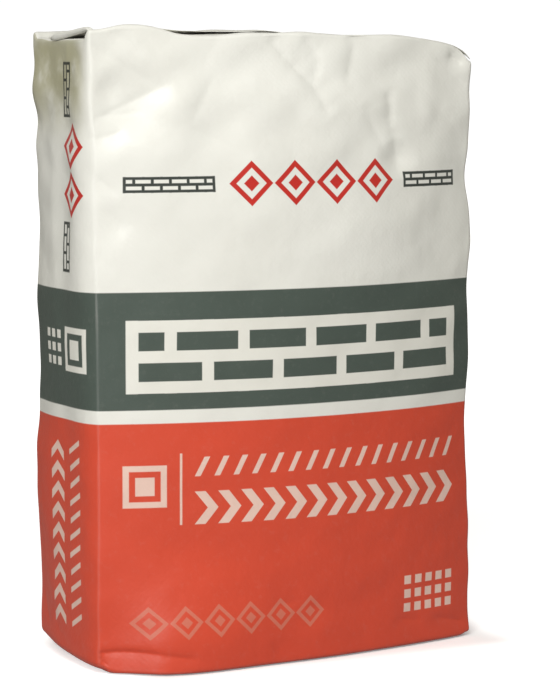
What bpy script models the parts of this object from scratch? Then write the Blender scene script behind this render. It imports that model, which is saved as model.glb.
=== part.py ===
"""A filled block-bottom valve sack of cement, standing upright on its lower end.

Metres, +Z up. The origin is the middle of the footprint, on the floor. The printed front panel faces -Y.
The sack is a tube whose two ends are folded into blocks, each closed by a cover patch, with a filling
valve in the upper left end. The solid of the tube stands for the fabric and the powder inside it.
"""

import math

import bmesh
import bpy

# Driving dimensions of the filled sack
HEIGHT = 0.562  # floor to the highest ear of the upper end
WIDTH = 0.382  # across the two narrow panels
EDGE_DEPTH = 0.127  # narrow panel, from front edge to back edge
BELLY = 0.038  # how far each wide panel stands out in its middle
END_BELLY = 0.035  # the same, at the upper and lower ends
SIDE_BELLY = 0.002  # how far each narrow panel stands out in its middle
VALVE_SIDE_FLARE = 0.005  # how far the valve side leans out at the upper end
FLARE_START = 0.55  # where that lean starts, as a share of the height
MIDDLE_X = VALVE_SIDE_FLARE / 2.0  # the sack stands this far aside, so that its box is centred

# Rounding of the folds
LONG_FOLD_ROUND = 0.009
END_FOLD_ROUND = 0.0075
VALVE_FOLD_ROUND = 0.003

# Form of the upper end, from its highest ear down
VALVE_SIDE_DIP = 0.0085  # between the two ears on the valve side
FAR_SIDE_DIP = 0.007  # the same, on the other side
FAR_CORNER_DROP = 0.016  # the slack corners away from the valve
FAR_CORNER_START = 0.55  # where that slack starts, as a share of the half width
RIM_STEP_DROP = 0.005  # the rims are this much lower past the valve
RIM_STEP = (-0.80, -0.60)  # where they step down, as shares of the half width
TOP_HOLLOW = 0.004  # the upper block sinks this much in its middle

# Form of the lower end, from the floor up
FOOT_END_LIFT = 0.006  # the ends of the lower block
FOOT_END_START = 0.92  # where they leave the floor, as a share of the half width
BACK_CORNER_LIFT = 0.008  # the lower back corner on the valve side curls up more

# Cover patches
PATCH_THICKNESS = 0.0008
CONTACT_GAP = 0.0003
CURVED_GAP = 0.0006  # under the upper patch, whose facets cut across the sack's
TOP_PATCH_LENGTH = 0.310
TOP_PATCH_WIDTH = 0.090
FOOT_PATCH_LENGTH = 0.316
FOOT_PATCH_WIDTH = 0.104

# Valve: a flat sleeve in a slot under the upper flaps
FLAP_THICKNESS = 0.0020
VALVE_SLOT_HEIGHT = 0.0030
VALVE_SLOT_WIDTH = 0.092
VALVE_SLOT_LENGTH = 0.086
SLEEVE_WALL = 0.0006
SLEEVE_INSET = 0.0015  # from the outer face of the narrow panel to the sleeve's mouth
CUTTER_REACH = 0.010  # a cutter runs this far past what it cuts

# Cells of the sack's cage along X, Y and Z, and of the thin sheets along X and Y
CELLS = (24, 8, 24)
SHEET_CELLS = (14, 10)
PATCH_CELLS = (44, 12)
DROP_HEIGHT = 0.02  # the upper patch starts this far over the sack before it is laid down

FABRIC_WHITE = (0.86, 0.85, 0.79, 1.0)
PATCH_WHITE = (0.83, 0.82, 0.76, 1.0)
SLEEVE_CLEAR = (0.78, 0.78, 0.74, 1.0)


def clear_scene():
    for obj in list(bpy.data.objects):
        bpy.data.objects.remove(obj)


def collection_named(name):
    made = bpy.data.collections.new(name)
    bpy.context.scene.collection.children.link(made)
    return made


def material_named(name, colour, roughness):
    made = bpy.data.materials.new(name)
    made.use_nodes = True
    shader = made.node_tree.nodes["Principled BSDF"]
    shader.inputs["Base Color"].default_value = colour
    shader.inputs["Roughness"].default_value = roughness
    shader.inputs["Metallic"].default_value = 0.0
    return made


def smooth_step(low, high, value):
    share = min(1.0, max(0.0, (value - low) / (high - low)))
    return share * share * (3.0 - 2.0 * share)


def belly_at(rise):
    """How far a wide panel stands out in its middle, at a share of the height."""
    return END_BELLY + (BELLY - END_BELLY) * math.sin(math.pi * rise)


def top_height(across, along_depth):
    """Height of the upper end. Both arguments run from -1 to 1 between the folds."""
    side_dip = VALVE_SIDE_DIP if across < 0.0 else FAR_SIDE_DIP
    inside = 1.0 - min(1.0, along_depth**2)
    rim = smooth_step(0.2, 1.0, abs(along_depth))
    far = max(0.0, across - FAR_CORNER_START) / (1.0 - FAR_CORNER_START)
    drop = side_dip * smooth_step(0.55, 1.0, abs(across)) * inside
    drop += TOP_HOLLOW * (1.0 - min(1.0, across**2)) * inside
    drop += RIM_STEP_DROP * smooth_step(*RIM_STEP, across)
    drop += FAR_CORNER_DROP * far**2 * rim
    return HEIGHT - drop


def foot_height(across, along_depth):
    """Height of the lower end: flat on its patch, with ends that leave the floor."""
    end = smooth_step(FOOT_END_START, 1.0, abs(across))
    lift = FOOT_END_LIFT * end
    if across < 0.0:
        lift += BACK_CORNER_LIFT * end * smooth_step(0.2, 1.0, along_depth)
    return PATCH_THICKNESS + CONTACT_GAP + lift


def place_on_sack(across, along_depth, rise):
    """A point of the sack: across and along_depth run from -1 to 1 and rise from 0 to 1."""
    half_width = WIDTH / 2.0 - SIDE_BELLY
    x = MIDDLE_X + across * (half_width + SIDE_BELLY * (1.0 - along_depth**2))
    if across < 0.0:
        x += across * VALVE_SIDE_FLARE * smooth_step(FLARE_START, 1.0, rise)
    y = along_depth * (EDGE_DEPTH / 2.0 + belly_at(rise) * (1.0 - across**2))
    low = foot_height(across, along_depth)
    return x, y, low + rise * (top_height(across, along_depth) - low)


def link_mesh(parts, name, shape, material):
    """Turns a bmesh into a named, smooth-shaded object."""
    mesh = bpy.data.meshes.new(name)
    shape.to_mesh(mesh)
    shape.free()
    mesh.materials.append(material)
    mesh.shade_smooth()
    made = bpy.data.objects.new(name, mesh)
    parts.objects.link(made)
    return made


def fold_round(edge):
    """The rounding that an edge of the uncurved cage gets, 0 inside a panel."""
    ends = [vertex.co for vertex in edge.verts]
    fixed = [axis for axis in range(3) if all(abs(abs(co[axis]) - 1.0) < 1e-4 for co in ends)]
    fixed = [axis for axis in fixed if ends[0][axis] * ends[1][axis] > 0.0]
    if len(fixed) < 2:
        return 0.0
    if fixed == [0, 1]:
        return LONG_FOLD_ROUND
    if fixed == [0, 2] and ends[0].x < 0.0 and ends[0].z > 0.0:
        return VALVE_FOLD_ROUND
    return END_FOLD_ROUND


def make_sack_tube(parts, material):
    """The tube with its folded ends, as the closed form that the powder gives it."""
    cage = bmesh.new()
    bmesh.ops.create_cube(cage, size=2.0)
    for axis, cells in enumerate(CELLS):
        lines = [
            edge for edge in cage.edges
            if abs(edge.verts[0].co[axis] - edge.verts[1].co[axis]) > 1e-6
        ]
        bmesh.ops.subdivide_edges(cage, edges=lines, cuts=cells - 1, use_grid_fill=True)
    weight = cage.edges.layers.float.new("bevel_weight_edge")
    for edge in cage.edges:
        edge[weight] = fold_round(edge) / LONG_FOLD_ROUND
    for vertex in cage.verts:
        across, along_depth, up = vertex.co
        vertex.co = place_on_sack(across, along_depth, (up + 1.0) / 2.0)
    sack = link_mesh(parts, "sack_tube", cage, material)
    rounding = sack.modifiers.new("rounded folds", "BEVEL")
    rounding.width = LONG_FOLD_ROUND
    rounding.segments = 3
    rounding.limit_method = "WEIGHT"
    return sack


def sheet_under_top(parts, name, material, left, right, width, depth, thickness):
    """A thin sheet along X that follows the upper end, depth below it."""
    sheet = bmesh.new()
    bmesh.ops.create_grid(sheet, x_segments=SHEET_CELLS[0], y_segments=SHEET_CELLS[1], size=1.0)
    for vertex in sheet.verts:
        x = left + (right - left) * (vertex.co.x + 1.0) / 2.0
        y = vertex.co.y * width / 2.0
        across = (x - MIDDLE_X) / (WIDTH / 2.0)
        along_depth = y / (EDGE_DEPTH / 2.0 + belly_at(1.0) * (1.0 - min(1.0, across**2)))
        vertex.co = (x, y, top_height(across, along_depth) - depth)
    made = link_mesh(parts, name, sheet, material)
    wall = made.modifiers.new("thickness", "SOLIDIFY")
    wall.thickness = thickness
    wall.offset = -1.0
    return made


def as_cutter(cutter):
    cutter.hide_render = True
    cutter.display_type = "WIRE"


def cut(target, cutter, name):
    modifier = target.modifiers.new(name, "BOOLEAN")
    modifier.operation = "DIFFERENCE"
    modifier.object = cutter


def make_valve(parts, cutters, sack, material):
    """The slot under the upper flaps, and the flat sleeve that lies in it."""
    outer_face = -WIDTH / 2.0 - VALVE_SIDE_FLARE + MIDDLE_X
    slot = sheet_under_top(
        cutters, "valve_slot_cutter", material,
        outer_face - CUTTER_REACH, outer_face + VALVE_SLOT_LENGTH,
        VALVE_SLOT_WIDTH, FLAP_THICKNESS, VALVE_SLOT_HEIGHT,
    )
    as_cutter(slot)
    cut(sack, slot, "valve slot")
    mouth = outer_face + SIDE_BELLY + SLEEVE_INSET
    inner_end = outer_face + VALVE_SLOT_LENGTH - CONTACT_GAP
    sleeve_depth = FLAP_THICKNESS + CONTACT_GAP
    sleeve_height = VALVE_SLOT_HEIGHT - 2.0 * CONTACT_GAP
    sleeve = sheet_under_top(
        parts, "valve_sleeve", material, mouth, inner_end,
        VALVE_SLOT_WIDTH - 2.0 * CONTACT_GAP, sleeve_depth, sleeve_height,
    )
    bore = sheet_under_top(
        cutters, "sleeve_bore_cutter", material, mouth - CUTTER_REACH, inner_end + CUTTER_REACH,
        VALVE_SLOT_WIDTH - 2.0 * CONTACT_GAP - 2.0 * SLEEVE_WALL,
        sleeve_depth + SLEEVE_WALL, sleeve_height - 2.0 * SLEEVE_WALL,
    )
    as_cutter(bore)
    cut(sleeve, bore, "sleeve bore")


def make_top_patch(parts, sack, material):
    """The cover patch on the upper flaps: a strip laid down on the sack's own surface."""
    strip = bmesh.new()
    bmesh.ops.create_grid(strip, x_segments=PATCH_CELLS[0], y_segments=PATCH_CELLS[1], size=0.5)
    bmesh.ops.scale(strip, vec=(TOP_PATCH_LENGTH, TOP_PATCH_WIDTH, 1.0), verts=strip.verts)
    bmesh.ops.translate(strip, vec=(0.0, 0.0, HEIGHT + DROP_HEIGHT), verts=strip.verts)
    patch = link_mesh(parts, "top_cover_patch", strip, material)
    laid = patch.modifiers.new("laid on the sack", "SHRINKWRAP")
    laid.target = sack
    laid.wrap_method = "PROJECT"
    laid.use_project_z = True
    laid.use_negative_direction = True
    laid.use_positive_direction = False
    laid.wrap_mode = "ABOVE_SURFACE"
    laid.offset = CURVED_GAP
    wall = patch.modifiers.new("thickness", "SOLIDIFY")
    wall.thickness = PATCH_THICKNESS
    wall.offset = 1.0
    return patch


def make_foot_patch(parts, material):
    """The cover patch that the sack stands on: a flat strip."""
    strip = bmesh.new()
    bmesh.ops.create_cube(strip, size=1.0)
    bmesh.ops.scale(strip, vec=(FOOT_PATCH_LENGTH, FOOT_PATCH_WIDTH, PATCH_THICKNESS), verts=strip.verts)
    bmesh.ops.translate(strip, vec=(0.0, 0.0, PATCH_THICKNESS / 2.0), verts=strip.verts)
    patch = link_mesh(parts, "foot_cover_patch", strip, material)
    patch.data.shade_flat()
    return patch


def main():
    clear_scene()
    parts = collection_named("cement_bag")
    cutters = collection_named("cutters")
    fabric = material_named("printed_fabric", FABRIC_WHITE, 0.45)
    patch = material_named("patch_fabric", PATCH_WHITE, 0.5)
    film = material_named("sleeve_film", SLEEVE_CLEAR, 0.35)
    sack = make_sack_tube(parts, fabric)
    make_valve(parts, cutters, sack, film)
    make_top_patch(parts, sack, patch)
    make_foot_patch(parts, patch)


main()
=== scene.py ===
"""The looks of a filled cement sack: coated woven fabric with a banded print, its folded ends and valve.

Metres, +Z up. The printed front panel faces -Y and the valve is at the upper end towards -X. The sack is one
grid of points over a box with round folds. Its soft form is a sum of named parts: bellied panels that draw
in at the slack upper end, folds that wander, broad waves, and listed creases and hollows. The flaps,
the cover patches, the valve's sleeve and its lip are thin sheets laid over the sack's ends.
"""

import math
from typing import NamedTuple

import bpy
import numpy as np
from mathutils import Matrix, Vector


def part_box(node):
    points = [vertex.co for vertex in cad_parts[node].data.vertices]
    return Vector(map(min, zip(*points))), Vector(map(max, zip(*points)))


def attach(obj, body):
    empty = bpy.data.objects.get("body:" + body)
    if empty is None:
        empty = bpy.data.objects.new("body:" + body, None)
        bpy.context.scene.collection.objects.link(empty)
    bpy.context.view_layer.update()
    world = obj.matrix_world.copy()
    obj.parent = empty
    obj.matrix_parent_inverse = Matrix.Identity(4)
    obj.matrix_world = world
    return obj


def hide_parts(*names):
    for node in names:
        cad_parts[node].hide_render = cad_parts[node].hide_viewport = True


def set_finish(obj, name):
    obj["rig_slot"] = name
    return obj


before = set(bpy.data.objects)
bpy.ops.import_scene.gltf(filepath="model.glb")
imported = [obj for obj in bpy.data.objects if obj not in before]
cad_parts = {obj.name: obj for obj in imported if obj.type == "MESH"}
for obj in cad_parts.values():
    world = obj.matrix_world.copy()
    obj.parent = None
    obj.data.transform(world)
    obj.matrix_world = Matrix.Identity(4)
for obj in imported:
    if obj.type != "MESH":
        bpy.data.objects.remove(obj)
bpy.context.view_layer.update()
SACK_LOW, SACK_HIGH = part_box("sack_tube")

# The sack's size, partly from the sack tube's box in model.glb
WIDTH = 0.382  # across the two narrow panels, below the flare
FLARE = (SACK_HIGH.x - SACK_LOW.x) - WIDTH  # how far the valve side leans out at the upper end
MIDDLE_X = (SACK_HIGH.x + SACK_LOW.x + FLARE) / 2.0
EDGE_DEPTH = 0.127  # a narrow panel, from front edge to back edge
BELLY = (SACK_HIGH.y - SACK_LOW.y - EDGE_DEPTH) / 2.0  # how far a wide panel stands out in its middle
FOOT_BELLY = BELLY - 0.003  # the same, at the lower end
TOP_BELLY = BELLY - 0.018  # the same, at the upper end, where the sack is slack
SLACK_START = 0.6  # share of the height from which the wide panels draw in towards the upper end
TOP_DRAW = 0.0040  # how much further they draw in close to the upper rim
TOP_DRAW_START = 0.87
SIDE_BULGE = ((0.0, 0.0030), (0.12, 0.0042), (0.80, 0.0042), (0.94, 0.0020), (1.0, 0.0012))  # narrow panels
HEIGHT = 0.563  # floor to the highest ear

# The folds' radii
LONG_FOLD = 0.0065
UPPER_FOLD = 0.0035
LOWER_FOLD = 0.0036
VALVE_FOOT_FOLD = 0.0080  # the lower fold under the valve side

# Heights of the upper end along X: its front rim, its middle line and its back rim
FRONT_RIM = ((-0.196, 0.5620), (-0.180, 0.5626), (-0.157, 0.5658), (-0.140, 0.5654), (-0.124, 0.5626),
             (-0.110, 0.5588), (-0.096, 0.5568), (-0.078, 0.5564), (-0.060, 0.5576), (-0.043, 0.5590),
             (0.034, 0.5588), (0.080, 0.5583), (0.119, 0.5570), (0.150, 0.5547), (0.166, 0.5519),
             (0.178, 0.5484), (0.187, 0.5430), (0.194, 0.5340))
MIDDLE_LINE = ((-0.196, 0.5568), (-0.150, 0.5578), (-0.100, 0.5562), (-0.056, 0.5588), (-0.010, 0.5590),
               (0.050, 0.5560), (0.120, 0.5530), (0.165, 0.5470), (0.193, 0.5340))
BACK_RIM = ((-0.196, 0.5606), (-0.180, 0.5608), (-0.150, 0.5592), (-0.100, 0.5560), (0.000, 0.5580),
            (0.100, 0.5560), (0.160, 0.5500), (0.193, 0.5340))
SIDE_RIM = 0.5548  # height of the narrow panel's upper edge on the valve side
FLAP_LIFT = 0.0009  # the flaps lie this far over the tube's own surface
VALVE_INSET = 0.019  # the upper flaps' ends on the valve side start this far in from the sack's corners

# The valve: a flat sleeve of film that opens at the narrow panel's upper edge
SLEEVE_FRONT = -0.057
SLEEVE_BACK = 0.036
SLEEVE_LENGTH = 0.086
SLEEVE_START = 0.0054  # from the valve side's outermost place to the sleeve's mouth
SLEEVE_SLANT = 0.012  # the mouth is this much further in at its back end
MOUTH_GAP = ((-0.057, 0.0066), (-0.048, 0.0062), (-0.041, 0.0052), (-0.030, 0.0040), (-0.018, 0.0022),
             (-0.008, 0.0008), (0.004, 0.0001), (0.036, 0.0))  # along Y
MOUTH_DEPTH = 0.024  # the mouth closes within this length
# Top of the folded lip, along Y
LIP_CREST = ((-0.0615, 0.5600), (-0.057, 0.5630), (-0.051, 0.5636), (-0.041, 0.5628), (-0.025, 0.5612),
             (-0.010, 0.5598), (0.004, 0.5585), (0.020, 0.5566), (0.036, 0.5532))
LIP_FRONT = -0.0615  # the lip's end is held in the front ear
LIP_NOSE = 0.0018  # depth of the lip's rounded edge
LIP_LENGTH = 0.052
POCKET_REACH = 0.045  # the tube's dent for the valve is gone this far in

# Form of the lower end
FOOT_GAP = 0.0013  # the tube's lowest face is this far over the floor
FOOT_SAG = 0.0003  # nothing of the tube's relief reaches lower than this under that face
FOOT_SWELLS = ((-0.68, 0.36, 0.018), (0.42, 0.40, -0.004))  # front panel at the foot: place, reach, depth
FOOT_SWELL_HEIGHT = 0.11
# How far the valve side leaves the floor, along the depth
VALVE_SIDE_LIFT = ((-1.0, 0.0030), (-0.3, 0.0056), (0.2, 0.0082), (0.6, 0.0112), (1.0, 0.0150))
VALVE_SIDE_LIFT_REACH = (0.05, 0.26)  # how far in it reaches, at the front and at the back
FAR_SIDE_LIFT = 0.0020
FAR_SIDE_LIFT_REACH = 0.05

# How far three folds wander outward with height
FRONT_FAR_WANDER = ((0.0, 0.0026), (0.09, 0.0022), (0.14, 0.0002), (0.23, -0.0032), (0.276, -0.0003),
                    (0.322, -0.0024), (0.368, -0.0018), (0.391, 0.0014), (0.41, 0.0007), (0.455, -0.0044),
                    (0.50, 0.0), (0.56, 0.0))
BACK_VALVE_WANDER = ((0.0, -0.0010), (0.055, -0.0018), (0.09, -0.0004), (0.135, 0.0018), (0.174, 0.0022),
                     (0.226, -0.0008), (0.27, -0.0012), (0.315, 0.0008), (0.37, -0.0030), (0.413, -0.0030),
                     (0.457, -0.0015), (0.497, -0.0014), (0.52, 0.0014), (0.56, 0.0))
FRONT_VALVE_WANDER = ((0.0, 0.0004), (0.05, 0.0006), (0.09, 0.0), (0.15, -0.0004), (0.20, 0.0),
                      (0.32, 0.0005), (0.37, 0.0004), (0.41, -0.0002), (0.50, 0.0), (0.56, 0.0012))

# Lines of the grid: (end, spacing) of each stretch along a side, finer where the relief is
FOLD_SHARE = 0.02  # share of each cube coordinate given to the folds
FOLD_CELLS = 4  # cells from a panel's edge to the middle of a fold
WIDTH_STRETCHES = ((0.024, 0.0017), (0.358, 0.0032), (WIDTH, 0.0017))
DEPTH_STRETCHES = ((EDGE_DEPTH, 0.0027),)
HEIGHT_STRETCHES = ((0.030, 0.0012), (0.055, 0.0020), (0.43, 0.0040), (HEIGHT, 0.0018))

# Numbers of the ends in the print's layout, where the four panels are 0 to 3
UPPER_END = 4.0
LOWER_END = 5.0

# Sheets on the ends
TOP_OVERLAP = 0.012  # the upper flaps reach this far past the sack's middle
FOOT_OVERLAP = 0.016
TOP_FLAP_INSET = 0.0015  # the flaps start this far behind the rim
FOOT_FLAP_INSET = 0.0130
FLAP_SHEET = 0.0005
PATCH_SHEET = 0.0004
SLEEVE_SHEET = 0.0002
LIP_SHEET = 0.0004
FOOT_SHEET = 0.0003  # the sheets that the sack stands on
TOP_PATCH = (0.310, 0.090)
FOOT_PATCH = (0.316, 0.104)
PATCH_SHIFT = 0.006
# Along X: how high the upper patch's front edge has come loose
PATCH_EDGE_LIFT = ((-0.146, 0.0), (-0.136, 0.0030), (-0.122, 0.0050), (-0.108, 0.0046), (-0.096, 0.0033),
                   (-0.077, 0.0019), (-0.055, 0.0010), (-0.030, 0.0), (0.0, 0.0))
VALVE_END = SACK_LOW.x

# Heights of the printed bands, from the floor
DARK_TOP = 0.3354
DARK_LOW = 0.2325
RED_TOP = 0.2208

# Places of the printed motifs on a wide panel: low and high corner, across and up
CHAIN = ((-0.074, 0.408), (0.094, 0.449))
UPPER_BRICKS = (((-0.166, 0.4215), (-0.086, 0.4355)), ((0.106, 0.4215), (0.170, 0.4355)))
BAND_BRICKS = ((-0.164, 0.2470), (0.170, 0.3110))
BLOCK_MIDDLE = (-0.1485, 0.1655)
BLOCK_HALF = 0.0185
RULE = ((-0.1188, 0.131), (-0.1168, 0.194))
SLANTS = ((-0.106, 0.1735), (0.170, 0.1905))
CHEVRONS = ((-0.106, 0.1310), (0.170, 0.1600))
SMALL_DIAMONDS = ((-0.164, 0.0310), (0.020, 0.0610))
GRID_MARK = ((0.108, 0.0308), (0.172, 0.0692))

# Bricks of those rows: length and joint
SMALL_BRICK = (0.0155, 0.0026)
LARGE_BRICK = (0.0647, 0.0105)

# The same on a narrow panel
SIDE_CHAIN = ((0.009, 0.398), (0.053, 0.482))
SIDE_BRICKS = (((0.0085, 0.486), (0.0255, 0.534)), ((0.0085, 0.351), (0.0255, 0.395)))
SIDE_BLOCK_MIDDLE = (0.032, 0.2835)
SIDE_BLOCK_HALF = 0.0195
SIDE_GRID = ((-0.030, 0.2655), (0.006, 0.3015))
SIDE_CHEVRONS = ((-0.0190, 0.036), (0.0050, 0.201))
SIDE_SLANTS = ((0.0175, 0.036), (0.0372, 0.205))

TAPE_WIDTH = 0.0026  # of the woven fabric

# Colours, in linear light
WHITE = (0.79, 0.785, 0.725, 1.0)
DARK = (0.068, 0.090, 0.075, 1.0)
RED = (0.665, 0.071, 0.032, 1.0)
DARK_INK = (0.040, 0.048, 0.042, 1.0)
RED_INK = (0.54, 0.026, 0.018, 1.0)
PALE_INK = (0.78, 0.77, 0.70, 1.0)
LIGHT_INK = (0.80, 0.57, 0.48, 1.0)
PINK_INK = (0.64, 0.17, 0.11, 1.0)
# the sleeve film's grey, kept dark as painted shade inside the valve's mouth
FILM_AND_MOUTH_SHADE = (0.42, 0.41, 0.36, 1.0)
# ink rubbed off at the folds, also a painted highlight along them
WORN_INK_AND_GLINT = (0.50, 0.49, 0.46, 1.0)
# painted shade along the sack's foot, where it meets the floor
FOOT_SHADE = (0.10, 0.045, 0.035, 1.0)
VALVE_DUST_AND_SHADE = (0.55, 0.53, 0.38, 1.0)  # cement dust and painted shade darken the fabric by these shares

# The camera, from a fit to the photograph's outline
CAMERA_YAW = math.radians(28.82)
CAMERA_TILT = math.radians(5.66)
CAMERA_DISTANCE = 2.7832
CAMERA_ASIDE = 0.0221
EYE_HEIGHT = 0.5474
LENS = 157.56

# The studio
KEY_AZIMUTH = 36.0
KEY_DISTANCE = 2.4
KEY_HEIGHT = 1.9
KEY_POWER = 60.0
STRIP_AZIMUTH = 50.0
STRIP_DISTANCE = 2.6
STRIP_POWER = 11.0
OVERHEAD_POWER = 3.5
WORLD_LIGHT = 0.22
WORLD_REFLECTION = 0.45
WORLD_TINT = (1.0, 0.975, 0.87, 1.0)
FLOOR_GLOW = 0.72
NEAR_GLOW = 0.24  # glow of the floor right beside the sack, lowered there as painted shade
NEAR_FADE = (0.0, 0.055)
SHADE_MIDDLE = (0.032, 0.0, 0.0)  # the floor's painted shade lies in front of the sack and on its far side
SHADE_HALF = (0.164, 0.086, 0.0)
FLOOR_FADE = (0.8, 2.2)
FLOOR_SIZE = 60.0


class Crease(NamedTuple):
    """A fold line pressed into a panel. Its two flanks may have different widths."""

    start: tuple
    end: tuple
    left: float
    right: float
    depth: float


class Hollow(NamedTuple):
    """An oval dent, or a bulge if its depth is negative."""

    centre: tuple
    radii: tuple
    turn: float
    depth: float


# Relief of the front panel: X and Z in metres
FRONT_CREASES = (
    Crease((-0.192, 0.549), (-0.130, 0.512), 0.016, 0.022, 0.0024),
    Crease((-0.128, 0.514), (-0.188, 0.485), 0.030, 0.010, 0.0026),
    Crease((-0.186, 0.487), (-0.150, 0.490), 0.006, 0.004, 0.0010),
    Crease((-0.150, 0.562), (-0.112, 0.515), 0.010, 0.010, 0.0009),
    Crease((-0.026, 0.555), (-0.009, 0.534), 0.012, 0.007, 0.0024),
    Crease((-0.009, 0.534), (0.013, 0.513), 0.016, 0.007, 0.0026),
    Crease((0.013, 0.513), (0.026, 0.488), 0.016, 0.009, 0.0022),
    Crease((0.008, 0.556), (0.022, 0.538), 0.008, 0.010, 0.0018),
    Crease((0.022, 0.538), (0.015, 0.512), 0.008, 0.012, 0.0018),
    Crease((0.095, 0.508), (0.096, 0.478), 0.008, 0.012, 0.0024),
    Crease((0.096, 0.478), (0.104, 0.440), 0.012, 0.010, 0.0014),
    Crease((0.150, 0.540), (0.186, 0.512), 0.010, 0.010, 0.0014),
    Crease((0.168, 0.540), (0.184, 0.532), 0.004, 0.005, 0.0020),
    Crease((0.120, 0.520), (0.176, 0.470), 0.016, 0.012, 0.0010),
    Crease((-0.188, 0.0195), (-0.166, 0.0212), 0.0035, 0.012, 0.0026),
    Crease((-0.168, 0.0212), (-0.144, 0.0196), 0.0035, 0.014, 0.0030),
    Crease((-0.146, 0.0198), (-0.112, 0.0140), 0.0045, 0.014, 0.0020),
    Crease((-0.188, 0.0165), (-0.180, 0.0080), 0.003, 0.003, 0.0012),
    Crease((0.150, 0.024), (0.190, 0.014), 0.006, 0.012, 0.0016),
    Crease((-0.188, 0.468), (-0.166, 0.474), 0.005, 0.009, 0.0014),
    Crease((-0.188, 0.436), (-0.170, 0.420), 0.006, 0.009, 0.0010),
    Crease((-0.180, 0.408), (-0.164, 0.386), 0.007, 0.008, 0.0013),
    Crease((-0.188, 0.372), (-0.176, 0.352), 0.006, 0.006, 0.0009),
    Crease((-0.140, 0.300), (-0.120, 0.245), 0.018, 0.018, 0.0010),
    Crease((-0.080, 0.290), (-0.070, 0.235), 0.020, 0.016, 0.0008),
)
FRONT_HOLLOWS = (
    Hollow((-0.158, 0.498), (0.046, 0.038), 0.0, 0.0044),
    Hollow((-0.152, 0.446), (0.052, 0.050), 0.0, -0.0028),
    Hollow((-0.083, 0.472), (0.036, 0.062), 0.0, 0.0026),
    Hollow((0.022, 0.468), (0.040, 0.050), 0.0, -0.0024),
    Hollow((0.105, 0.476), (0.060, 0.060), 0.0, 0.0012),
    Hollow((0.100, 0.447), (0.026, 0.020), 0.0, 0.0036),
    Hollow((0.176, 0.536), (0.018, 0.016), 0.0, 0.0016),
    Hollow((-0.176, 0.506), (0.014, 0.020), 0.0, 0.0014),
    Hollow((-0.172, 0.398), (0.014, 0.026), 20.0, 0.0012),
    Hollow((0.140, 0.500), (0.016, 0.044), -10.0, -0.0012),
    Hollow((0.040, 0.530), (0.020, 0.030), 15.0, -0.0010),
    Hollow((0.146, 0.375), (0.036, 0.060), 0.0, 0.0018),
    Hollow((0.060, 0.375), (0.060, 0.070), 0.0, -0.0012),
    Hollow((-0.120, 0.375), (0.040, 0.050), 0.0, 0.0010),
)

# Relief of the narrow panel with the valve: Y and Z in metres
VALVE_SIDE_CREASES = (
    Crease((-0.016, 0.550), (-0.020, 0.510), 0.012, 0.010, -0.0009),
    Crease((-0.058, 0.508), (-0.040, 0.545), 0.006, 0.010, 0.0008),
    Crease((0.052, 0.060), (0.034, 0.030), 0.010, 0.010, 0.0010),
)
VALVE_SIDE_HOLLOWS = (
    Hollow((-0.044, 0.430), (0.024, 0.150), 0.0, -0.0022),
    Hollow((-0.008, 0.420), (0.026, 0.140), 0.0, 0.0018),
    Hollow((0.020, 0.520), (0.036, 0.046), 0.0, 0.0022),
    Hollow((-0.004, 0.160), (0.050, 0.120), 0.0, 0.0012),
)

# Scattered creases on the other panels: how many, seed
BACK_SCATTER = (26, 11)
FAR_SIDE_SCATTER = (12, 23)
FRONT_SCATTER = (16, 5)
VALVE_SIDE_SCATTER = (3, 31)


def smooth(low, high, value):
    share = np.clip((value - low) / (high - low), 0.0, 1.0)
    return share * share * (3.0 - 2.0 * share)


def unit(vectors):
    return vectors / np.linalg.norm(vectors, axis=-1, keepdims=True)


def curve(knots, value):
    """A smooth curve through given knots: (place, value) pairs."""
    places, values = np.array(knots).T
    slopes = np.gradient(values, places)
    value = np.clip(value, places[0], places[-1])
    i = np.clip(np.searchsorted(places, value, side="right") - 1, 0, len(places) - 2)
    gap = places[i + 1] - places[i]
    t = (value - places[i]) / gap
    start = (2.0 * t**3 - 3.0 * t**2 + 1.0) * values[i] + (t**3 - 2.0 * t**2 + t) * gap * slopes[i]
    return start + (3.0 * t**2 - 2.0 * t**3) * values[i + 1] + (t**3 - t**2) * gap * slopes[i + 1]


def flap_height(across, deep):
    """Height of the folded flaps over the upper end."""
    x = MIDDLE_X + across * WIDTH / 2.0
    middle = curve(MIDDLE_LINE, x)
    rim = np.where(deep < 0.0, curve(FRONT_RIM, x), curve(BACK_RIM, x))
    return middle + (rim - middle) * np.abs(deep) ** 2.2


def seat_height(across, deep):
    """Height that the flaps lie at: on the valve side they fall towards the narrow panel's edge."""
    height = flap_height(across, deep)
    inner = -0.96 + 0.08 * smooth(-0.1, 0.2, deep)
    at_side = smooth(0.0, 1.0, (inner - across) / (inner + 0.99)) * smooth(1.0, 0.86, np.abs(deep))
    return height + at_side * np.minimum(0.0, SIDE_RIM - height)


def tube_top(across, deep):
    """Height of the tube's own upper face, which lies under the flaps and has a pocket for the valve."""
    seat = seat_height(across, deep)
    height = seat - FLAP_LIFT * smooth(1.0, 0.93, np.abs(deep)) * smooth(-1.0, -0.97, across)
    y = deep * EDGE_DEPTH / 2.0
    inward = (across + 1.0) * WIDTH / 2.0
    mouth_floor = SIDE_RIM - 0.0006
    pocket_floor = mouth_floor + (seat - 0.0022 - mouth_floor) * smooth(0.0, POCKET_REACH, inward)
    pocket = smooth(SLEEVE_BACK + 0.008, SLEEVE_BACK - 0.008, y)
    pocket = pocket * smooth(SLEEVE_FRONT - 0.004, SLEEVE_FRONT, y)
    pocket = pocket * smooth(SLEEVE_LENGTH + 0.012, SLEEVE_LENGTH, inward)
    return height + pocket * np.minimum(0.0, pocket_floor - height)


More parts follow.
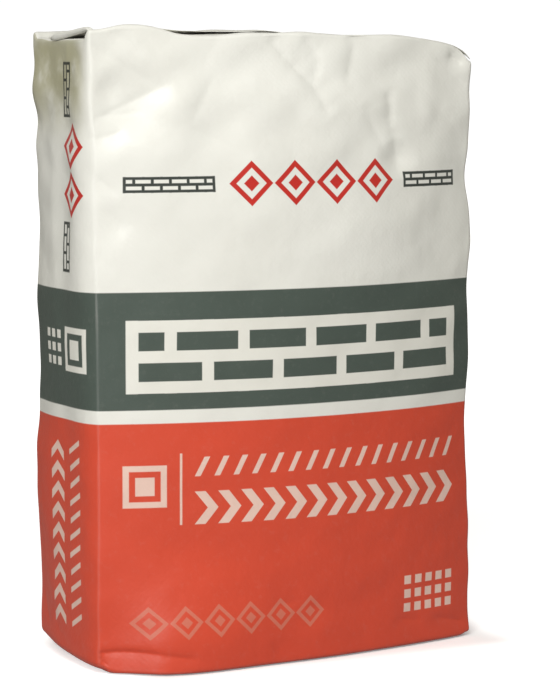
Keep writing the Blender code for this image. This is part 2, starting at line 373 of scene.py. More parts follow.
def tube_foot(across, deep):
    """Height of the tube's lower face: flat, with ends that leave the floor."""
    at_front, at_back = VALVE_SIDE_LIFT_REACH
    reach = at_front + (at_back - at_front) * (deep + 1.0) / 2.0
    lift = curve(VALVE_SIDE_LIFT, deep) * smooth(1.0 - reach, 1.0, -across) ** 1.5
    return FOOT_GAP + lift + FAR_SIDE_LIFT * smooth(1.0 - FAR_SIDE_LIFT_REACH, 1.0, across)


def past_panel(coordinate):
    """0 inside a panel, and from there to 1 at the middle of a fold."""
    return np.clip((np.abs(coordinate) - 1.0 + FOLD_SHARE) / FOLD_SHARE, 0.0, 1.0)


def fold_lean(coordinate):
    """0 inside a panel, and to 1 or -1 at the middle of a fold: the tangent of evenly growing angles."""
    return np.sign(coordinate) * np.tan(past_panel(coordinate) * math.pi / 4.0)


def fold_radius(across, up):
    """The folds are tighter at the upper rim, and roundest under the valve side."""
    radius = LONG_FOLD + (UPPER_FOLD - LONG_FOLD) * smooth(0.90, 1.0, up)
    lower = LOWER_FOLD + (VALVE_FOOT_FOLD - LOWER_FOLD) * smooth(-0.90, -1.0, across)
    return radius + (lower - LONG_FOLD) * smooth(-0.92, -1.0, up)


def belly_at(rise):
    """How far a wide panel stands out in its middle, at a share of the height."""
    foot = (BELLY - FOOT_BELLY) * (1.0 - np.sin(math.pi * np.minimum(rise, 0.5)))
    slack = np.maximum(0.0, (rise - SLACK_START) / (1.0 - SLACK_START))
    return BELLY - foot - (BELLY - TOP_BELLY) * slack**2


def stand_out(across, rise):
    """How far a wide panel stands out from the line between its two long folds."""
    draw = TOP_DRAW * smooth(TOP_DRAW_START, 1.0, rise)
    return belly_at(rise) * (1.0 - across**2) - draw * (1.0 - across**6)


def side_bulge(deep, rise):
    """How far a narrow panel stands out, and how steeply along Y. It turns in quickly at its front fold."""
    power = np.where(deep < 0.0, 6.0, 2.0)
    most = curve(SIDE_BULGE, rise)
    steepness = -most * power * np.sign(deep) * np.abs(deep) ** (power - 1.0) / (EDGE_DEPTH / 2.0)
    return most * (1.0 - np.abs(deep) ** power), steepness


def sack_form(across, deep, up):
    """Points and outward directions of the sack before its relief. Each coordinate runs from -1 to 1."""
    a, b, c = (np.clip(v / (1.0 - FOLD_SHARE), -1.0, 1.0) for v in (across, deep, up))
    radius = fold_radius(across, up)
    rise = (c + 1.0) / 2.0
    belly = belly_at(rise)
    half_width = WIDTH / 2.0 - radius
    flare = FLARE * (0.62 - 0.38 * b) * smooth(0.50, 1.0, rise)
    x = MIDDLE_X + a * half_width + np.minimum(a, 0.0) * flare
    bulge, bulge_slope = side_bulge(b, rise)
    x = x + np.sign(a) * a**6 * bulge
    z_share = rise * HEIGHT
    near_front, near_back = smooth(0.2, -1.0, b), smooth(-0.2, 1.0, b)
    folds = (
        (1.0, near_front, FRONT_FAR_WANDER),
        (-1.0, near_front, FRONT_VALVE_WANDER),
        (-1.0, near_back, BACK_VALVE_WANDER),
    )
    for out, near, wander in folds:
        x = x + out * np.maximum(out * a, 0.0) ** 6 * near * curve(wander, z_share)
    y = b * (EDGE_DEPTH / 2.0 - radius + stand_out(a, rise))
    swell = sum(size * np.exp(-(((a - place) / reach) ** 2)) for place, reach, size in FOOT_SWELLS)
    swell = swell * smooth(1.0, 0.72, np.abs(a)) * smooth(FOOT_SWELL_HEIGHT / HEIGHT, 0.0, rise)
    y = y - swell * smooth(0.2, -1.0, b)
    low = tube_foot(a, b) + radius
    z = low + rise * (tube_top(a, b) - radius - low)
    lean_x, lean_y, lean_z = fold_lean(across), fold_lean(deep), fold_lean(up)
    direction = np.stack([
        lean_x + lean_y * np.sign(b) * 2.0 * belly * a / half_width,
        lean_y - np.abs(lean_x) * bulge_slope,
        lean_z,
    ], axis=-1)
    direction = unit(direction)
    return np.stack([x, y, z], axis=-1) + radius[..., None] * direction, direction


def crease_relief(crease, s, z):
    """Depth of a crease at points of a panel: sharp along its line, soft on its flanks and at its ends."""
    start, end = np.array(crease.start), np.array(crease.end)
    along = end - start
    length = np.linalg.norm(along)
    along = along / length
    ds, dz = s - start[0], z - start[1]
    share = (ds * along[0] + dz * along[1]) / length
    aside = dz * along[0] - ds * along[1]
    width = np.where(aside > 0.0, crease.left, crease.right)
    past = np.maximum(0.0, np.maximum(-share, share - 1.0)) * length
    taper = np.clip(np.minimum(share, 1.0 - share) * 3.0 + 0.35, 0.0, 1.0)
    spread = np.sqrt(aside**2 + past**2)
    return crease.depth * taper * np.exp(-spread / width * 1.6)


def hollow_relief(hollow, s, z):
    turn = math.radians(hollow.turn)
    ds, dz = s - hollow.centre[0], z - hollow.centre[1]
    p = (ds * math.cos(turn) + dz * math.sin(turn)) / hollow.radii[0]
    q = (dz * math.cos(turn) - ds * math.sin(turn)) / hollow.radii[1]
    return hollow.depth * np.maximum(0.0, 1.0 - p**2 - q**2) ** 2


def scattered_creases(count, seed, half_width):
    """Small creases near a panel's two ends, most of them near the upper one."""
    draw = np.random.default_rng(seed)
    made = []
    for _ in range(count):
        upper = draw.random() < 0.7
        z = draw.uniform(0.43, 0.55) if upper else draw.uniform(0.012, 0.06)
        s = draw.uniform(-half_width, half_width) * 0.92
        angle = draw.uniform(-1.2, 1.2) + (math.pi / 2.0 if upper else 0.0)
        length = draw.uniform(0.02, 0.06) * (1.0 if upper else 0.7)
        end = (s + math.cos(angle) * length, z + math.sin(angle) * length * 0.8)
        made.append(Crease((s, z), end, draw.uniform(0.005, 0.016), draw.uniform(0.005, 0.016),
                           draw.uniform(0.0004, 0.0015)))
    return made


def broad_waves(points, seed, count, shortest, longest):
    """A smooth random field with a spread of about 1, the same on every run."""
    draw = np.random.default_rng(seed)
    total = np.zeros(points.shape[:-1])
    for _ in range(count):
        direction = unit(draw.normal(size=3))
        length = draw.uniform(shortest, longest)
        total += np.sin(points @ direction * 2.0 * math.pi / length + draw.uniform(0.0, 6.28))
    return total / math.sqrt(count / 2.0)


def cloth_waves(points):
    """Long waves and short ripples, which the sheets on the sack's ends share with it."""
    ripples = 0.00042 * broad_waves(points, 8, 14, 0.025, 0.07) * (0.5 + smooth(0.38, 0.52, points[..., 2]))
    return 0.0006 * broad_waves(points, 3, 9, 0.10, 0.30) + ripples


def panel_relief(points, across, deep, up):
    """How far each point moves outward, from its panel's creases and hollows and the waves that all share."""
    x, y, z = points[..., 0], points[..., 1], points[..., 2]
    in_x, in_y, in_z = (past_panel(v) for v in (across, deep, up))
    wide_share = in_y * (1.0 - 0.5 * in_x) * (1.0 - 0.5 * in_z)
    narrow_share = in_x * (1.0 - 0.5 * in_y) * (1.0 - 0.5 * in_z)
    wide = WIDTH / 2.0
    narrow = EDGE_DEPTH / 2.0
    front = FRONT_CREASES + tuple(scattered_creases(*FRONT_SCATTER, wide))
    valve = VALVE_SIDE_CREASES + tuple(scattered_creases(*VALVE_SIDE_SCATTER, narrow))
    panels = (
        (wide_share * (deep < 0.0), x, front, FRONT_HOLLOWS),
        (wide_share * (deep > 0.0), -x, scattered_creases(*BACK_SCATTER, wide), ()),
        (narrow_share * (across < 0.0), y, valve, VALVE_SIDE_HOLLOWS),
        (narrow_share * (across > 0.0), y, scattered_creases(*FAR_SIDE_SCATTER, narrow), ()),
    )
    relief = np.zeros(x.shape)
    for share, s, creases, hollows in panels:
        depth = sum(crease_relief(c, s, z) for c in creases)
        depth = depth + sum((hollow_relief(h, s, z) for h in hollows), np.zeros(x.shape))
        relief = relief - share * depth
    off_foot = smooth(0.0, 0.03, z)
    return relief * smooth(-1.0, -0.985, up) + cloth_waves(points) * off_foot


def sack_surface(across, deep, up):
    """Points of the finished sack, and the directions that face outward there."""
    points, direction = sack_form(across, deep, up)
    return points + panel_relief(points, across, deep, up)[..., None] * direction, direction


def grid_lines(stretches, length):
    """Cube coordinates of the grid's lines: fold cells at both ends, (end, spacing) stretches between."""
    places = [0.0]
    for end, spacing in stretches:
        cells = max(1, round((end - places[-1]) / spacing))
        places.extend(np.linspace(places[-1], end, cells + 1)[1:])
    inner = (np.array(places) / length * 2.0 - 1.0) * (1.0 - FOLD_SHARE)
    fold = FOLD_SHARE * np.arange(FOLD_CELLS) / FOLD_CELLS
    return np.concatenate([-1.0 + fold, inner, (1.0 - fold)[::-1]])


def panel_quads(grid, flip):
    corners = [grid[:-1, :-1], grid[1:, :-1], grid[1:, 1:], grid[:-1, 1:]]
    quads = np.stack([corner.ravel() for corner in corners], axis=1)
    return quads[:, ::-1] if flip else quads


def mesh_object(name, points, quads):
    mesh = bpy.data.meshes.new(name)
    mesh.from_pydata(points.tolist(), [], quads.tolist())
    mesh.shade_smooth()
    made = bpy.data.objects.new(name, mesh)
    bpy.context.scene.collection.objects.link(made)
    return made


def write_uv(mesh, name, coordinates):
    """coordinates holds one (u, v) for each corner of each face."""
    layer = mesh.uv_layers.new(name=name)
    layer.data.foreach_set("uv", np.asarray(coordinates, np.float32).ravel())


def make_sack():
    """The whole tube as one closed grid, with its print laid out in metres."""
    xs = grid_lines(WIDTH_STRETCHES, WIDTH)
    ys = grid_lines(DEPTH_STRETCHES, EDGE_DEPTH)
    zs = grid_lines(HEIGHT_STRETCHES, HEIGHT)
    i, j, k = np.meshgrid(*(np.arange(len(v)) for v in (xs, ys, zs)), indexing="ij")
    shell = np.zeros(i.shape, bool)
    for axis_index, lines in ((i, xs), (j, ys), (k, zs)):
        shell |= (axis_index == 0) | (axis_index == len(lines) - 1)
    number = np.full(i.shape, -1)
    number[shell] = np.arange(shell.sum())
    across, deep, up = xs[i[shell]], ys[j[shell]], zs[k[shell]]
    points, _ = sack_surface(across, deep, up)
    plain, _ = sack_form(across, deep, up)
    points[:, 2] = np.maximum(points[:, 2], FOOT_GAP - FOOT_SAG)
    x, y, z = plain[:, 0], plain[:, 1], plain[:, 2]
    panels = (
        (number[:, 0, :], False, 0.0, x, z, x, z),
        (number[-1, :, :], False, 1.0, y, z, y, z),
        (number[:, -1, :], True, 2.0, -x, z, -x, z),
        (number[0, :, :], True, 3.0, -y, z, -y, z),
        (number[:, :, -1], False, UPPER_END, x, z, x, y),
        (number[:, :, 0], True, LOWER_END, x, z, x, y),
    )
    quads, printed, woven = [], [], []
    for grid, flip, offset, u, v, s, t in panels:
        faces = panel_quads(grid, flip)
        quads.append(faces)
        corners = faces.ravel()
        printed.append(np.stack([u[corners] + offset, v[corners]], axis=1))
        woven.append(np.stack([s[corners], t[corners]], axis=1))
    sack = mesh_object("sack_fabric", points, np.concatenate(quads))
    write_uv(sack.data, "print", np.concatenate(printed))
    write_uv(sack.data, "weave", np.concatenate(woven))
    leans = np.sort(np.abs([fold_lean(v) for v in (across, deep, up)]), axis=0)
    sack.data.attributes.new("fold", "FLOAT", "POINT").data.foreach_set("value", leans[1].astype(np.float32))
    return sack


def across_at(x):
    return np.clip((x - MIDDLE_X) / (WIDTH / 2.0), -1.0, 1.0)


def end_depth(x, rise):
    """Half the depth of the sack's lower end, rise = 0, or upper end, rise = 1, at x."""
    return EDGE_DEPTH / 2.0 + stand_out(across_at(x), rise)


def end_height(surface, x, y, rise):
    """Height of one of the surfaces of the sack's ends at a place."""
    return surface(across_at(x), np.clip(y / end_depth(x, rise), -1.0, 1.0))


def upper_height(x, y, surface=seat_height):
    """Height of the flaps' outer side at a place on the upper end, or of another surface there."""
    height = end_height(surface, x, y, 1.0)
    return height + cloth_waves(np.stack([x, y, height], axis=-1))


def lower_height(x, y):
    """Height of the tube's lower face at a place on the lower end."""
    return end_height(tube_foot, x, y, 0.0)


def sheet_object(name, x, y, z, thickness, print_offset):
    """A thin sheet over a grid of points. It grows upward by its thickness."""
    points = np.stack([x, y, z], axis=-1).reshape(-1, 3)
    quads = panel_quads(np.arange(x.size).reshape(x.shape), False)
    made = mesh_object(name, points, quads)
    corners = quads.ravel()
    write_uv(made.data, "weave", points[corners, :2])
    height = np.where(points[corners, 2] > HEIGHT / 2.0, HEIGHT, 0.0)
    write_uv(made.data, "print", np.stack([points[corners, 0] + print_offset, height], axis=1))
    wall = made.modifiers.new("thickness", "SOLIDIFY")
    wall.thickness = thickness
    wall.offset = 1.0
    return made


def unit_grid(columns, rows):
    """p from -1 to 1 and q from 0 to 1."""
    return np.meshgrid(np.linspace(-1.0, 1.0, columns + 1), np.linspace(0.0, 1.0, rows + 1), indexing="ij")


def flap_outline(side, inner_edge, rise, inset):
    """Places on a flap from its fold, q = 0, to its inner edge. Its ends are cut at 45 degrees."""
    p, q = unit_grid(170, 44)
    reach = EDGE_DEPTH / 2.0 + inner_edge
    half = WIDTH / 2.0 - inset - reach * q - np.where(p < 0.0, VALVE_INSET * rise, 0.0)
    x = MIDDLE_X + p * half
    fold = end_depth(x, rise) - inset
    return p, q, x, side * (fold * (1.0 - q) - inner_edge * q)


def face_up(side, *grids):
    """A flap's grids, turned round on the back side so that its faces point upward there too."""
    return [grid[::-1] for grid in grids] if side > 0.0 else grids


def make_flap(name, side, over, inner_edge):
    """One of the two long flaps of the upper end. It leaves the tube's surface just behind the rim."""
    p, q, x, y = flap_outline(side, inner_edge, 1.0, TOP_FLAP_INSET)
    rise = smooth(0.0, 0.05, q)
    bare = smooth(0.0, 0.012, np.abs(x - MIDDLE_X - PATCH_SHIFT) - TOP_PATCH[0] / 2.0)
    edge = smooth(0.90, 1.0, np.abs(p)) * smooth(0.0, 0.25, q) * bare
    lift = over * smooth(0.72, 0.84, q) + 0.0002 * edge
    z = upper_height(x, y) - FLAP_SHEET - 0.0008 * (1.0 - rise) + lift
    return sheet_object(name, *face_up(side, x, y, z), FLAP_SHEET, UPPER_END)


def make_foot_flap(name, side, over, inner_edge):
    _, q, x, y = flap_outline(side, inner_edge, 0.0, FOOT_FLAP_INSET)
    z = lower_height(x, y) - FOOT_SHEET - 0.0002 - over * smooth(0.72, 0.84, q)
    return sheet_object(name, *face_up(side, x, y, z), FOOT_SHEET, LOWER_END)


def make_patch(name, size, top):
    """A cover patch over the seam of the flaps, with small waves along its edge."""
    p, q = unit_grid(120, 40)
    x = MIDDLE_X + PATCH_SHIFT + p * size[0] / 2.0
    y = (q - 0.5) * size[1]
    if top:
        edge = smooth(0.94, 1.0, np.abs(p)) + smooth(0.80, 1.0, np.abs(2.0 * q - 1.0))
        seam = 0.0006 * smooth(-0.020, -0.012, y) * smooth(0.018, 0.010, y)
        z = upper_height(x, y) + 0.0010 + seam + 0.0003 * edge * np.sin(x * 61.0) * np.cos(y * 83.0)
        z = z + curve(PATCH_EDGE_LIFT, x) * smooth(-0.024, -size[1] / 2.0, y)
    else:
        z = np.minimum(lower_height(x, y), FOOT_GAP + 0.004) - FOOT_GAP + 0.0001
    return sheet_object(name, x, y, z, *((PATCH_SHEET, UPPER_END) if top else (FOOT_SHEET, LOWER_END)))


def mouth_gap(y, inward):
    """How far the mouth stands open at y, and at a distance in from the narrow panel's edge."""
    return curve(MOUTH_GAP, y) * (1.0 - smooth(0.0, MOUTH_DEPTH, inward))


def make_sleeve():
    """The valve: a flattened tube of film in the pocket. Its mouth stands open beside the front ear."""
    loop, along = np.meshgrid(np.linspace(0.0, 2.0, 97), np.linspace(0.0, 1.0, 49) ** 1.4, indexing="ij")
    share = np.where(loop > 1.0, 2.0 - loop, loop)
    y = SLEEVE_BACK + (SLEEVE_FRONT - SLEEVE_BACK) * share
    start = SLEEVE_START + SLEEVE_SLANT * smooth(0.0, SLEEVE_BACK, y)
    x = VALVE_END + start + (SLEEVE_START + SLEEVE_LENGTH - start) * along
    gap = mouth_gap(y, x - VALVE_END) * smooth(0.0, 0.06, share) * smooth(1.0, 0.95, share)
    z = upper_height(x, y, tube_top) + 0.0001 + np.where(loop > 1.0, gap + 0.0003, 0.0)
    return sheet_object("valve_sleeve_film", x, y, z, SLEEVE_SHEET, UPPER_END)


def make_lip():
    """The fabric over the valve's mouth: it comes from under the flaps and folds back in round its edge."""
    p, q = unit_grid(96, 72)
    y = (LIP_FRONT + SLEEVE_BACK) / 2.0 - p * (SLEEVE_BACK - LIP_FRONT) / 2.0
    under, over = np.clip((0.15 - q) / 0.15, 0.0, 1.0), np.clip((q - 0.40) / 0.60, 0.0, 1.0)
    turn = np.clip((q - 0.15) / 0.25, 0.0, 1.0) * math.pi
    back_end = 0.0060 * smooth(0.008, SLEEVE_BACK, y)
    nose = 0.0006 + LIP_NOSE * (1.0 - np.sin(turn)) + back_end
    inward = nose + 0.004 * under + (LIP_LENGTH - LIP_NOSE) * over**1.5
    x = VALVE_END + inward
    over_sleeve = 0.0003 + 0.0007 * smooth(0.0044, 0.0054, inward)
    crest = curve(LIP_CREST, y)
    low = upper_height(x, y, tube_top) + over_sleeve + mouth_gap(y, inward)
    low = np.minimum(low, crest - 0.0004)
    under_flaps = upper_height(x, y) - FLAP_SHEET - LIP_SHEET - 0.0001
    top = crest + (under_flaps - crest) * smooth(0.004, 0.015, inward)
    z = low + (top - low) * (1.0 - np.cos(turn)) / 2.0
    return sheet_object("valve_lip", x, y, z, LIP_SHEET, UPPER_END)


def declare(piece, slot, node):
    """Says what a piece is made of, which node it stands for and what it rides on."""
    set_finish(piece, slot)
    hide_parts(node)
    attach(piece, "root")
    return piece


def main_pieces():
    sack = declare(make_sack(), "printed_fabric", "sack_tube")
    pieces = [sack]
    flaps = (
        (make_flap, "top_flap_back", 1.0, 0.0, TOP_OVERLAP),
        (make_flap, "top_flap_front", -1.0, 0.0007, TOP_OVERLAP),
        (make_foot_flap, "foot_flap_back", 1.0, 0.0, FOOT_OVERLAP),
        (make_foot_flap, "foot_flap_front", -1.0, 0.0004, FOOT_OVERLAP),
    )
    for make, name, side, over, inner_edge in flaps:
        flap = declare(make(name, side, over, inner_edge), "printed_fabric", "sack_tube")
        pieces.append(flap)
    for name, size, top in (("top_cover_patch", TOP_PATCH, True), ("foot_cover_patch", FOOT_PATCH, False)):
        patch = declare(make_patch(name + "_sheet", size, top), "patch_fabric", name)
        pieces.append(patch)
    lip = declare(make_lip(), "printed_fabric", "sack_tube")
    sleeve = declare(make_sleeve(), "sleeve_film", "valve_sleeve")
    return pieces + [lip, sleeve]


class Nodes:
    """Adds shader nodes to one material and joins them."""

    def __init__(self, name):
        self.material = bpy.data.materials.new(name)
        self.material.use_nodes = True
        self.tree = self.material.node_tree
        self.shader = self.tree.nodes["Principled BSDF"]

    def put(self, socket, value):
        if isinstance(value, bpy.types.NodeSocket):
            self.tree.links.new(value, socket)
        elif value is not None:
            socket.default_value = value

    def add(self, kind, inputs=(), **settings):
        node = self.tree.nodes.new(kind)
        for key, value in settings.items():
            setattr(node, key, value)
        for key, value in dict(inputs).items():
            self.put(node.inputs[key], value)
        return node

    def math(self, operation, *values):
        return self.add("ShaderNodeMath", dict(enumerate(values)), operation=operation).outputs[0]

    def uv(self, name):
        both = self.add("ShaderNodeUVMap", uv_map=name).outputs[0]
        return both, self.add("ShaderNodeSeparateXYZ", {0: both}).outputs

    def ramp(self, value, low, high):
        """0 below low and 1 above high, smooth between. It falls if low is over high."""
        start, end, first, last = (low, high, 0.0, 1.0) if low < high else (high, low, 1.0, 0.0)
        inputs = {"Value": value, "From Min": start, "From Max": end, "To Min": first, "To Max": last}
        return self.add("ShaderNodeMapRange", inputs, interpolation_type="SMOOTHSTEP").outputs[0]

    def within(self, value, middle, half, edge=0.0005):
        """1 where value is within half of middle."""
        return self.under(self.away(value, middle), half, edge)

    def mix(self, share, first, second, mode="MIX"):
        node = self.add("ShaderNodeMix", data_type="RGBA", blend_type=mode)
        self.put(node.inputs[0], share)
        self.put(node.inputs[6], first)
        self.put(node.inputs[7], second)
        return node.outputs[2]

    def under(self, value, limit, edge=0.0004):
        """1 where value is under limit."""
        return self.ramp(value, limit + edge, limit - edge)

    def away(self, value, middle):
        return self.math("ABSOLUTE", self.math("SUBTRACT", value, middle))

    def repeat(self, value, pitch, start):
        """Distance to the nearest of the places start, start + pitch and so on."""
        return self.math("PINGPONG", self.math("SUBTRACT", value, start), pitch / 2.0)

    def all_of(self, first, *others):
        for other in others:
            first = self.math("MULTIPLY", first, other)
        return first

    def any_of(self, first, *others):
        for other in others:
            first = self.math("MAXIMUM", first, other)
        return first

    def noise(self, place, scale, detail=2.0, roughness=0.5):
        inputs = {"Vector": place, "Scale": scale, "Detail": detail, "Roughness": roughness}
        return self.add("ShaderNodeTexNoise", inputs).outputs[0]

    def bump(self, height, distance, strength=1.0, normal=None):
        inputs = {"Height": height, "Distance": distance, "Strength": strength, "Normal": normal}
        return self.add("ShaderNodeBump", inputs).outputs[0]


def woven_relief(nodes):
    """Height of flat tapes woven over and under each other, from 0 to 1."""
    _, (s, t, _) = nodes.uv("weave")
    turn = math.pi / TAPE_WIDTH
    first = nodes.math("SINE", nodes.math("MULTIPLY", s, turn))
    second = nodes.math("SINE", nodes.math("MULTIPLY", t, turn))
    return nodes.math("MULTIPLY_ADD", nodes.math("MULTIPLY", first, second), 0.5, 0.5)


def finish_fabric(nodes, colour):
    """What every piece of the coated fabric shares: weave, fine crinkles, uneven gloss and dust."""
    place = nodes.add("ShaderNodeTexCoord").outputs["Object"]
    weave = woven_relief(nodes)
    crinkle = nodes.noise(place, 55.0, 3.0, 0.55)
    soft = nodes.noise(place, 14.0, 2.0, 0.5)
    normal = nodes.bump(soft, 0.006, 0.35)
    normal = nodes.bump(crinkle, 0.0016, 0.35, normal)
    normal = nodes.bump(weave, 0.00006, 0.5, normal)
    tone = nodes.ramp(nodes.noise(place, 9.0, 4.0, 0.6), 0.30, 0.70)
    shade = nodes.mix(tone, (0.955, 0.952, 0.945, 1.0), (1.0, 1.0, 1.0, 1.0))
    colour = nodes.mix(1.0, colour, shade, "MULTIPLY")
    dust = nodes.ramp(nodes.noise(place, 160.0, 4.0, 0.7), 0.52, 0.80)
    colour = nodes.mix(nodes.math("MULTIPLY", dust, 0.05), colour, (0.50, 0.48, 0.43, 1.0))
    gloss = nodes.noise(place, 24.0, 3.0, 0.6)
    rough = nodes.math("MULTIPLY_ADD", gloss, 0.16, 0.31)
    nodes.put(nodes.shader.inputs["Base Color"], colour)
    nodes.put(nodes.shader.inputs["Roughness"], rough)
    nodes.put(nodes.shader.inputs["Normal"], normal)
    nodes.shader.inputs["Specular IOR Level"].default_value = 0.45
    return nodes.material


def bands(nodes, height):
    """The printed ground colours: white, dark band, white line, red."""
    colour = WHITE
    for top, ground in ((DARK_TOP, DARK), (DARK_LOW, WHITE), (RED_TOP, RED)):
        colour = nodes.mix(nodes.under(height, top, 0.0006), colour, ground)
    return colour


def inside(nodes, s, t, low, high):
    """1 inside a rectangle."""
    halves = ((high[0] - low[0]) / 2.0, (high[1] - low[1]) / 2.0)
    across = nodes.within(s, low[0] + halves[0], halves[0])
    return nodes.all_of(across, nodes.within(t, low[1] + halves[1], halves[1]))


def brick_lines(nodes, s, t, low, high, courses, brick, line):
    """The joints of a brick wall, with a line round it."""
    pitch = (high[1] - low[1] - line) / courses
    first = low[1] + line / 2.0
    course = nodes.math("FLOOR", nodes.math("DIVIDE", nodes.math("SUBTRACT", t, first), pitch))
    shift = nodes.math("MULTIPLY", nodes.math("FLOORED_MODULO", course, 2.0), brick / 2.0)
    beds = nodes.under(nodes.repeat(t, pitch, first), line / 2.0)
    shifted = nodes.math("SUBTRACT", s, shift)
    uprights = nodes.under(nodes.repeat(shifted, brick, low[0] + line / 2.0), line / 2.0)
    half = (high[0] - low[0]) / 2.0
    ends = nodes.math("SUBTRACT", 1.0, nodes.within(s, low[0] + half, half - line))
    return nodes.all_of(inside(nodes, s, t, low, high), nodes.any_of(beds, uprights, ends))


def diamonds(nodes, s, t, low, high, count, core=0.34):
    """A row of diamonds: each is an outline, with a solid core if core is over 0."""
    pitch = (high[0] - low[0]) / count
    half = (high[1] - low[1]) / 2.0
    aside = nodes.math("DIVIDE", nodes.repeat(s, pitch, low[0] + pitch / 2.0), pitch / 2.0)
    above = nodes.math("DIVIDE", nodes.away(t, low[1] + half), half)
    distance = nodes.math("ADD", aside, above)
    shape = nodes.within(distance, 0.82, 0.15, 0.025)
    if core > 0.0:
        shape = nodes.any_of(shape, nodes.under(distance, core, 0.025))
    return nodes.all_of(inside(nodes, s, t, low, high), shape)


def bar_row(nodes, place, first, last, count, width):
    """A number of bars between two places, each as wide as width."""
    pitch = (last - first - width) / (count - 1)
    bars = nodes.under(nodes.repeat(place, pitch, first + width / 2.0), width / 2.0)
    return nodes.all_of(bars, nodes.within(place, (first + last) / 2.0, (last - first) / 2.0))


def slanted_bars(nodes, s, t, low, high, count, width):
    slant = 0.5
    upright = nodes.math("MULTIPLY_ADD", nodes.math("SUBTRACT", t, low[1]), -slant, s)
    bars = bar_row(nodes, upright, low[0], high[0] - slant * (high[1] - low[1]), count, width)
    return nodes.all_of(inside(nodes, s, t, low, high), bars)


def arrow_row(nodes, s, t, low, high, count, width):
    """A row of chevrons that point along s."""
    sweep = 0.8
    half = (high[1] - low[1]) / 2.0
    unbent = nodes.math("MULTIPLY_ADD", nodes.away(t, low[1] + half), sweep, s)
    bars = bar_row(nodes, unbent, low[0] + sweep * half, high[0], count, width)
    return nodes.all_of(inside(nodes, s, t, low, high), bars)


def nested_squares(nodes, s, t, middle, half):
    distance = nodes.math("MAXIMUM", nodes.away(s, middle[0]), nodes.away(t, middle[1]))
    ring = nodes.within(distance, half * 0.86, half * 0.14)
    return nodes.any_of(ring, nodes.under(distance, half * 0.44))


def square_grid(nodes, s, t, low, high, pitch):
    across = nodes.repeat(s, pitch, low[0] + pitch / 2.0)
    level = nodes.repeat(t, pitch, low[1] + pitch / 2.0)
    squares = nodes.under(nodes.math("MAXIMUM", across, level), pitch * 0.31)
    return nodes.all_of(inside(nodes, s, t, low, high), squares)


def turned(corners):
    """A rectangle of a row that runs up the panel, as corners along the row and across it."""
    return tuple((corner[1], corner[0]) for corner in corners)


def wide_print(nodes, s, z):
    """Masks of the motifs on a wide panel, for each ink."""
    dark = nodes.any_of(*(brick_lines(nodes, s, z, *place, 2, *SMALL_BRICK) for place in UPPER_BRICKS))
    red = diamonds(nodes, s, z, *CHAIN, 4)
    pale = brick_lines(nodes, s, z, *BAND_BRICKS, 2, *LARGE_BRICK)
    light = nodes.any_of(
        nested_squares(nodes, s, z, BLOCK_MIDDLE, BLOCK_HALF),
        inside(nodes, s, z, *RULE),
        slanted_bars(nodes, s, z, *SLANTS, 16, 0.0052),
        arrow_row(nodes, s, z, *CHEVRONS, 13, 0.0098),
        square_grid(nodes, s, z, *GRID_MARK, 0.0128),
    )
    faint = diamonds(nodes, s, z, *SMALL_DIAMONDS, 6)
    return dark, red, pale, light, faint


def narrow_print(nodes, s, z):
    """The same on a narrow panel, where the rows run upward."""
    dark = nodes.any_of(*(brick_lines(nodes, z, s, *turned(place), 2, *SMALL_BRICK) for place in SIDE_BRICKS))
    red = diamonds(nodes, z, s, *turned(SIDE_CHAIN), 2)
    pale = nodes.any_of(
        nested_squares(nodes, s, z, SIDE_BLOCK_MIDDLE, SIDE_BLOCK_HALF),
        square_grid(nodes, s, z, *SIDE_GRID, 0.0120),
    )
    light = nodes.any_of(
        arrow_row(nodes, z, s, *turned(SIDE_CHEVRONS), 9, 0.0082),
        slanted_bars(nodes, z, s, *turned(SIDE_SLANTS), 11, 0.0050),
    )
    return dark, red, pale, light, 0.0


